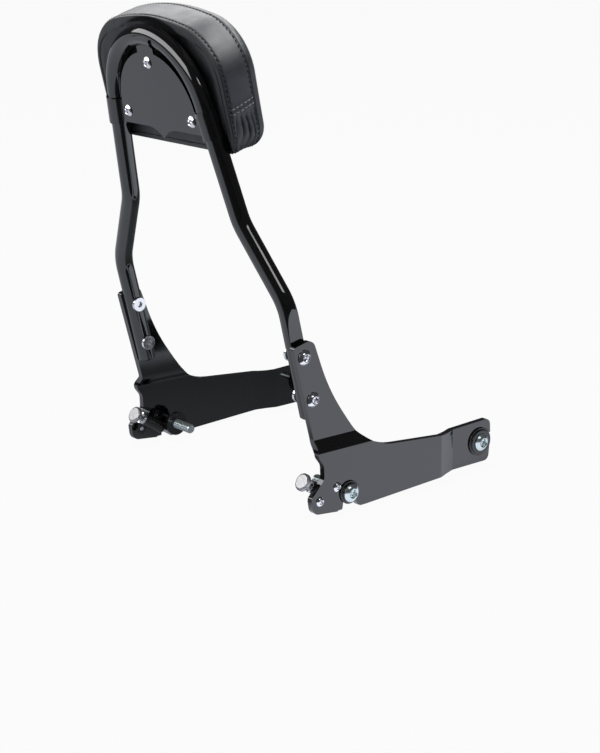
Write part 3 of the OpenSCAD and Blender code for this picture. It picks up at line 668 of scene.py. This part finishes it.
# Pad: a closed skin over the outline's length (u) and a profile from the back to the front (v)
def pad_outline(count):
    """Evenly spaced outline points from the middle of the bottom, with directions and length."""
    shoulder = PAD_TOP - SHOULDER_DROP
    corners = [(PAD_HALF, PAD_LOW, PAD_LOW_R), (PAD_HALF, shoulder, PAD_TOP_R),
               (0.0, PAD_TOP + TOP_RISE, TOP_ARC_R), (-PAD_HALF, shoulder, PAD_TOP_R),
               (-PAD_HALF, PAD_LOW, PAD_LOW_R)]
    points, ways = [np.array([[0.0, PAD_LOW]])], [np.array([[0.0, -1.0]])]
    for i, corner in enumerate(corners):
        before, at, after = (np.array(c[:2]) for c in (corners[i - 1], corner, corners[(i + 1) % 5]))
        arc, out = bend(before, at, after, corner[2], 60)
        points.append(arc)
        ways.append(out)
    points = np.concatenate(points + points[:1])
    ways = np.concatenate(ways + ways[:1])
    reach = np.append(0.0, np.cumsum(np.linalg.norm(np.diff(points, axis=0), axis=1)))
    at = np.linspace(0, reach[-1], count + 1)[:-1]
    even, even_ways = (np.column_stack([np.interp(at, reach, values[:, i]) for i in (0, 1)])
                       for values in (points, ways))
    return even, even_ways / np.linalg.norm(even_ways, axis=1)[:, None], reach[-1]


PAD_POINTS = 460
RIM, RIM_OUT, RIM_LENGTH = pad_outline(PAD_POINTS)
RIM_U = np.arange(PAD_POINTS) * RIM_LENGTH / PAD_POINTS
PAD_MID_S = (PAD_LOW + PAD_TOP) / 2

# Depths (t) of the seams and stitch rows, and where the cross seams meet both seams
BACK_SEAM = PAD_BACK - PAD_BACK_ROUND
FRONT_SEAM = PAD_BACK - PAD_T + CROWN + PAD_FRONT_ROUND
BACK_ROW, FRONT_ROW = BACK_SEAM - 1.3, FRONT_SEAM + 1.5
CROSS_SEAM_BACK, CROSS_SEAM_FRONT = 258.5, 263.0
STITCH_PITCH, CROSS_PITCH, THREAD_R = 4.6, 3.6, 0.55

# Heights of a cross seam's two stitch rows over the seam itself
CROSS_ROWS = (2.3, -2.4)

# Relief of the skin: heights in millimetres, the slimming as a share of the thickness
SEAM_SUNK, CROSS_SUNK, GROOVE_SUNK, PUFF = 0.85, 0.95, 1.1, 1.15
PAD_SLIMMING, RIM_PUFF, TOP_SLOPE, PANEL_DROP = 0.09, 5.0, 1.8, 4.0
FOLDS = 4.6

# Profile places (v): the flat back's edge, the back panel's groove, the back rounding, the two
# seams of the boxing, the front face's edge and the front's middle
FLAT_V, PANEL_V, ROUND_V = 0.75, 0.98, (1.1, 1.5)
BACK_SEAM_V, FRONT_SEAM_V, FACE_V, END_V = 1.53, 2.9, 3.7, 4.5


def dip(distance, width):
    return np.exp(-(distance / width) ** 2)


def soft_step(low, high, x):
    share = np.clip((x - low) / (high - low), 0.0, 1.0)
    return share * share * (3 - 2 * share)


def cross_seam(t):
    """Height of the cross seam at a depth: it climbs a little towards the front."""
    share = (BACK_SEAM - t) / (BACK_SEAM - FRONT_SEAM)
    return CROSS_SEAM_BACK + (CROSS_SEAM_FRONT - CROSS_SEAM_BACK) * share


def boxing_lift(u, s, t):
    """How far the boxing stands out: puffed between its seams, gathered below the cross seams."""
    along = np.clip((BACK_SEAM - t) / (BACK_SEAM - FRONT_SEAM), 0.0, 1.0)
    below = cross_seam(t) - s
    gather = soft_step(1.5, 11.0, below)
    from_middle = np.abs(u - RIM_LENGTH * np.round(u / RIM_LENGTH))
    sway = 0.22 * np.sin(u / 13.0 + 1.0) + 0.16 * np.sin(u / 7.1 + 4.0 * along)
    wave = FOLDS * (along + 0.035 * np.sin(u / 9.0)) + sway
    ridge = np.abs(np.cos(math.pi * wave)) ** 0.55
    uneven = 0.75 + 0.25 * np.sin(u / 10.3 + 6.0 * along)
    fold = (1.75 * ridge * uneven - 1.0) * np.sin(math.pi * np.clip(along, 0.03, 0.97)) ** 0.35
    fold = fold * (0.65 + 0.35 * soft_step(0.0, 60.0, from_middle))
    puff = PUFF * np.sin(math.pi * along) ** 0.8 * (1 - gather)
    seam = 0.35 * dip(below - 2.6, 1.6) + 0.3 * dip(below + 2.8, 1.8) - CROSS_SUNK * dip(below, 0.85)
    seam = seam * soft_step(0.0, 0.06, along) * soft_step(1.0, 0.94, along)
    worn = 0.14 * np.sin(u / 23.0 + 2.0) * np.sin(math.pi * along)
    return puff + gather * fold + seam + worn


def stitch_count():
    return round(RIM_LENGTH / STITCH_PITCH)


def pinch(u, t, row):
    """Dimple of a stitch row: a shallow line, deeper where the thread goes in."""
    phase = np.cos(2 * math.pi * u * stitch_count() / RIM_LENGTH)
    return -dip(t - row, 0.85) * (0.42 + 0.3 * phase)


def beside_hoop(px, ps):
    """From 0 on the bar, where the pad's back lies against it, to 1 well outside of it."""
    leg_x = WAIST_HALF + (HOOP_R - WAIST_HALF) * (ps - HIGH_BEND) / (HOOP_RISE - HIGH_BEND)
    from_hub = np.hypot(px, ps - HOOP_RISE) - HOOP_R
    outside = np.where(ps > HOOP_RISE, from_hub, np.abs(px) - leg_x)
    return soft_step(BAR_R + 0.5, BAR_R + 7.5, outside)


def around(values, u):
    """Value at an outline length, of values that are known at the outline's points."""
    return np.interp(u % RIM_LENGTH, np.append(RIM_U, RIM_LENGTH), np.append(values, values[0]))


def pad_lift(u, v, height, depth, top):
    """How far the skin stands out across the outline, top being 1 on the pad's upper side."""
    on_boxing = soft_step(BACK_SEAM_V - 0.02, BACK_SEAM_V + 0.06, v)
    on_boxing = on_boxing * soft_step(FRONT_SEAM_V + 0.25, FRONT_SEAM_V, v)
    boxing = boxing_lift(u, height, depth) + pinch(u, depth, BACK_ROW) + pinch(u, depth, FRONT_ROW)
    seams = SEAM_SUNK * (dip(v - BACK_SEAM_V, 0.012) + dip(v - FRONT_SEAM_V, 0.012))
    slope = TOP_SLOPE * top * soft_step(FRONT_SEAM, BACK_SEAM, depth) * soft_step(FLAT_V, 1.0, v)
    return boxing * on_boxing - seams - slope


def pad_depth(px, ps, v, depth):
    """Depth with the back panel's groove, a worn face, a slimmer bottom and a swollen rim."""
    groove = GROOVE_SUNK * dip(v - PANEL_V, 0.02)
    sunk = 0.25 * soft_step(PANEL_V - 0.02, 0.1, v) * (v < PANEL_V)
    worn = 0.35 * np.sin(px / 21.0 + 0.8) * np.sin(ps / 17.0)
    depth = depth - groove - sunk - worn * soft_step(FRONT_SEAM_V + 0.2, FACE_V + 0.2, v)
    slimmer = 1 - PAD_SLIMMING * soft_step(PAD_TOP, PAD_LOW, ps)
    rim = RIM_PUFF * soft_step(FRONT_SEAM, BACK_SEAM, depth) * beside_hoop(px, ps)
    return PAD_BACK + (depth - PAD_BACK) * slimmer + rim


def pad_surface(u, v):
    """Pad surface in (x, s, t) for arrays of outline length u and profile places v."""
    x, y = around(RIM[:, 0], u), around(RIM[:, 1], u)
    out_x, out_y = around(RIM_OUT[:, 0], u), around(RIM_OUT[:, 1], u)
    inset, depth, share = (np.interp(v, PROFILE_V, PROFILE[:, i]) for i in range(3))
    top = soft_step(0.35, 1.0, out_y)
    panel = soft_step(PANEL_V - 0.3, PANEL_V, v) * soft_step(PANEL_V + 0.32, PANEL_V, v)
    inset = inset + PANEL_DROP * top * panel
    over = share * (pad_lift(u, v, y, depth, top) - inset)
    px = x * share + out_x * over
    ps = PAD_MID_S + (y - PAD_MID_S) * share + out_y * over
    return px, ps, pad_depth(px, ps, v, depth)


def pad_profile():
    """Stations of v, inset from the outline, depth, and share of the way out from the middle."""
    least, arc_steps = 0.02, 12
    rows = [(0.0, 0.0, PAD_BACK, least), (FLAT_V, 0.0, PAD_BACK, 0.88),
            (PANEL_V, 5.2, PAD_BACK, 1.0), (PANEL_V + 0.08, 3.6, PAD_BACK + 0.25, 1.0)]
    for v, a in zip(np.linspace(*ROUND_V, 5), np.linspace(0.15, math.pi / 2, 5)):
        rows.append((v, PAD_BACK_ROUND * (1 - math.sin(a)),
                     BACK_SEAM + PAD_BACK_ROUND * math.cos(a), 1.0))
    rows += [(1.6, 0.0, BACK_SEAM - 0.9, 1.0), (FRONT_SEAM_V, 0.0, FRONT_SEAM, 1.0)]
    for i in range(1, arc_steps + 1):
        a = math.pi / 2 * i / arc_steps
        v = FRONT_SEAM_V + (FACE_V - FRONT_SEAM_V) * i / arc_steps
        rows.append((v, PAD_FRONT_ROUND * (1 - math.cos(a)),
                     FRONT_SEAM - PAD_FRONT_ROUND * math.sin(a), 1.0))
    face = FRONT_SEAM - PAD_FRONT_ROUND
    for i in range(1, arc_steps + 1):
        c = 1.0 - (1.0 - least) * i / arc_steps
        v = FACE_V + (END_V - FACE_V) * i / arc_steps
        rows.append((v, PAD_FRONT_ROUND, face - CROWN * (1 - c * c), c))
    return np.array(rows)


STATIONS = pad_profile()
PROFILE_V, PROFILE = STATIONS[:, 0], STATIONS[:, 1:]
STEEP_FROM, STEEP_TO = 1.45, 3.1
STEEP = (PROFILE_V > STEEP_FROM) & (PROFILE_V < STEEP_TO)


def place_at_depth(t):
    """Profile place v of a depth on the boxing or just past its seams."""
    return float(np.interp(-t, -PROFILE[STEEP, 1], PROFILE_V[STEEP]))


def profile_places():
    """Where the profile is sampled: close together at the seams, wider on the panels."""
    steps = [(FLAT_V, 7), (0.92, 4), (1.06, 12), (1.5, 9), (1.6, 9), (2.85, 52), (2.95, 9),
             (FACE_V, 22), (END_V, 14)]
    places, low = [], 0.0
    for high, count in steps:
        places.append(np.linspace(low, high, count, endpoint=False))
        low = high
    return np.append(np.concatenate(places), END_V)


def make_pad():
    places = profile_places()
    u, v = np.meshgrid(RIM_U, places)
    points = leg(*pad_surface(u, v)).reshape(-1, 3)
    pad = mesh_object("pad", points, capped_faces(len(places), PAD_POINTS), FINISH["vinyl"], 75.0)
    settle(pad, "pad_cover", "pad_foam")


def surface_point(u, v):
    return leg(*pad_surface(np.array([u]), np.array([v])))[0] / MM


def surface_normal(u, v):
    du = surface_point(u + 0.5, v) - surface_point(u - 0.5, v)
    dv = surface_point(u, v + 0.01) - surface_point(u, v - 0.01)
    normal = unit(np.cross(du, dv))
    outward = surface_point(u, v) - leg(0.0, PAD_MID_S, PAD_BACK - PAD_T / 2) / MM
    return normal if normal @ outward > 0 else -normal


class Thread:
    """Stitches on the pad's skin, made into one piece."""

    # Share of the way along a stitch, height over the skin and thickness, as shares of the radius
    SHAPE = ((0.0, -0.48, 0.7), (0.18, 0.24, 1.0), (0.5, 0.672, 1.12), (0.82, 0.24, 1.0),
             (1.0, -0.48, 0.7))
    SIDES = 6

    def __init__(self):
        self.points, self.faces = [], []

    def stitch(self, before, middle, after):
        """One stitch through three (u, v) places: it rises from one hole and dives into the next."""
        start, centre, end = (surface_point(*place) for place in (before, middle, after))
        normal = surface_normal(*middle)
        across = unit(np.cross(end - start, normal))
        first = len(self.points)
        for share, lift, thickness in self.SHAPE:
            line = centre if share == 0.5 else start + (end - start) * share
            hub = line + normal * lift * THREAD_R
            for k in range(self.SIDES):
                a = 2 * math.pi * k / self.SIDES
                spoke = math.cos(a) * across + math.sin(a) * normal
                self.points.append((hub + THREAD_R * thickness * spoke) * MM)
        self.faces += capped_faces(len(self.SHAPE), self.SIDES, first)

    def make(self, name, material):
        obj = mesh_object(name, self.points, self.faces, material, 80.0)
        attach(obj, "root")


def edge_rows(thread):
    """Rows of stitches all round the pad, beside both seams of the boxing."""
    pitch = RIM_LENGTH / stitch_count()
    reach = 0.37 * pitch
    for row in (BACK_ROW, FRONT_ROW):
        v = place_at_depth(row)
        for i in range(stitch_count()):
            u = (i + 0.5) * pitch
            thread.stitch((u - reach, v), (u, v), (u + reach, v))


def cross_row(thread, side, offset):
    """Stitches along one side of a cross seam, from the back seam to the front seam."""
    past_bottom, before_top, reach = 60, 120, 1.4
    rising = (RIM_U > past_bottom) & (RIM_U < RIM_LENGTH / 2 - before_top)

    def place(t):
        u = float(np.interp(cross_seam(t) + offset, RIM[rising, 1], RIM_U[rising]))
        return (u if side > 0 else RIM_LENGTH - u), place_at_depth(t)
    for t in np.arange(BACK_SEAM - 3.0, FRONT_SEAM + 1.5, -CROSS_PITCH):
        thread.stitch(place(t + reach), place(t), place(t - reach))


def make_stitches():
    edges, crosses = Thread(), Thread()
    edge_rows(edges)
    edges.make("stitches", EDGE_THREAD)
    for side in (1, -1):
        for offset in CROSS_ROWS:
            cross_row(crosses, side, offset)
    crosses.make("cross_stitches", CROSS_THREAD_PAINTED_HIGHLIGHT)


make_pad()
make_stitches()

# Stage. Painted reflections: gloss sees the floor bright in some directions only and dark in others,
# by azimuth in degrees round a hub
FLOOR_HUB = (0.12, -0.12, 0.0)
FLOOR_GLOSS = ((-180, 0.66), (-92, 0.66), (-70, 0.03), (6, 0.03), (20, 1.08), (80, 1.08),
               (96, 0.12), (150, 0.2), (176, 0.66))
GLOSS_TINT = (0.9, 0.94, 1.04)
FLOOR_SIZE, FLOOR_GAP = 40, 0.0005

# How much of the floor's white is its own glow. The rest takes the part's shadow
GLOW_SHARE = 0.95
DIM, WHITE = (0.05, 0.05, 0.053, 1.0), (0.96, 0.96, 0.96, 1.0)
LAMP_AIM = Vector((0.0, -0.05, 0.3))


def painted_reflection_by_azimuth(graph):
    """Painted reflection: the colour that reflections see at a point of the floor, bright or dark by
    azimuth.
    """
    from_hub = graph.node("ShaderNodeVectorMath", operation="SUBTRACT")
    graph.link(graph.node("ShaderNodeNewGeometry").outputs["Position"], from_hub.inputs[0])
    from_hub.inputs[1].default_value = FLOOR_HUB
    parts = graph.node("ShaderNodeSeparateXYZ")
    graph.link(from_hub.outputs[0], parts.inputs[0])
    spread = graph.node("ShaderNodeMapRange")
    spread.inputs["From Min"].default_value = -math.pi
    spread.inputs["From Max"].default_value = math.pi
    turn = graph.math("ARCTAN2", parts.outputs["Y"], parts.outputs["X"])
    graph.link(turn, spread.inputs["Value"])
    ring = graph.node("ShaderNodeValToRGB")
    ring.color_ramp.interpolation = "EASE"
    elements = ring.color_ramp.elements
    elements[0].position, elements[1].position = 0.0, 1.0
    for angle, _ in FLOOR_GLOSS[1:-1]:
        elements.new((angle + 180) / 360)
    for element, (angle, level) in zip(elements, FLOOR_GLOSS):
        element.position = (angle + 180) / 360
        element.color = (*(level * part for part in GLOSS_TINT), 1.0)
    graph.link(spread.outputs[0], ring.inputs["Fac"])
    return ring.outputs["Color"]


def make_floor():
    """White floor that keeps a soft shadow, and shows painted reflections to glossy rays."""
    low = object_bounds()[0][2]
    bpy.ops.mesh.primitive_plane_add(size=FLOOR_SIZE, location=(0, 0, low - FLOOR_GAP))
    floor = bpy.context.object
    floor.name = "floor"
    mat = bpy.data.materials.new("floor")
    mat.use_nodes = True
    mat.node_tree.nodes.clear()
    graph = Graph(mat.node_tree)
    matte = graph.node("ShaderNodeBsdfDiffuse")
    matte.inputs["Color"].default_value = (0.8, 0.8, 0.8, 1.0)
    path = graph.node("ShaderNodeLightPath").outputs
    white = graph.node("ShaderNodeEmission")
    seen = graph.mix(path["Is Glossy Ray"], (1.0, 1.0, 1.0, 1.0), painted_reflection_by_azimuth(graph))
    graph.link(seen, white.inputs["Color"])
    either = graph.math("MAXIMUM", path["Is Camera Ray"], path["Is Glossy Ray"])
    mix = graph.node("ShaderNodeMixShader")
    graph.link(graph.math("MULTIPLY", either, GLOW_SHARE), mix.inputs["Fac"])
    graph.link(matte.outputs[0], mix.inputs[1])
    graph.link(white.outputs[0], mix.inputs[2])
    graph.link(mix.outputs[0], graph.node("ShaderNodeOutputMaterial").inputs["Surface"])
    floor.data.materials.append(mat)


def make_world():
    """Dim light from all round, with a white backdrop for the camera."""
    world = bpy.data.worlds.new("world")
    bpy.context.scene.world = world
    world.use_nodes = True
    graph = Graph(world.node_tree)
    path = graph.node("ShaderNodeLightPath").outputs
    shade = graph.mix(path["Is Camera Ray"], DIM, WHITE)
    graph.link(shade, world.node_tree.nodes["Background"].inputs["Color"])


def softbox(name, azimuth, height, distance, size, power):
    """Lamp aimed at the part from an azimuth (0 along +X) and a height in degrees."""
    data = bpy.data.lights.new(name, "AREA")
    data.shape = "RECTANGLE"
    data.size, data.size_y = size
    data.energy = power
    lamp = bpy.data.objects.new(name, data)
    bpy.context.scene.collection.objects.link(lamp)
    a, h = math.radians(azimuth), math.radians(height)
    way = Vector((math.cos(h) * math.cos(a), math.cos(h) * math.sin(a), math.sin(h)))
    lamp.location = LAMP_AIM + way * distance
    lamp.rotation_euler = (LAMP_AIM - lamp.location).to_track_quat("-Z", "Y").to_euler()
    return lamp


def only_on_pad(lamp):
    """The lamp lights the pad and its stitches and nothing else."""
    group = bpy.data.collections.new(lamp.name + "_lights")
    for name in ("pad", "stitches", "cross_stitches"):
        group.objects.link(bpy.data.objects[name])
    lamp.light_linking.receiver_collection = group


make_floor()
make_world()
softbox("rear_high", -110.0, 30.0, 2.4, (4.4, 1.5), 60.0).visible_diffuse = False
softbox("right_high", 4.0, 33.0, 2.4, (0.9, 0.35), 3.0)
only_on_pad(softbox("front_left", 150.0, 42.0, 2.2, (2.4, 1.4), 46.0))
only_on_pad(softbox("right_top", 50.0, 64.0, 2.4, (2.2, 1.8), 85.0))
softbox("overhead", 200.0, 80.0, 2.6, (1.4, 1.0), 30.0).visible_glossy = False

bpy.context.scene.view_settings.view_transform = "Standard"
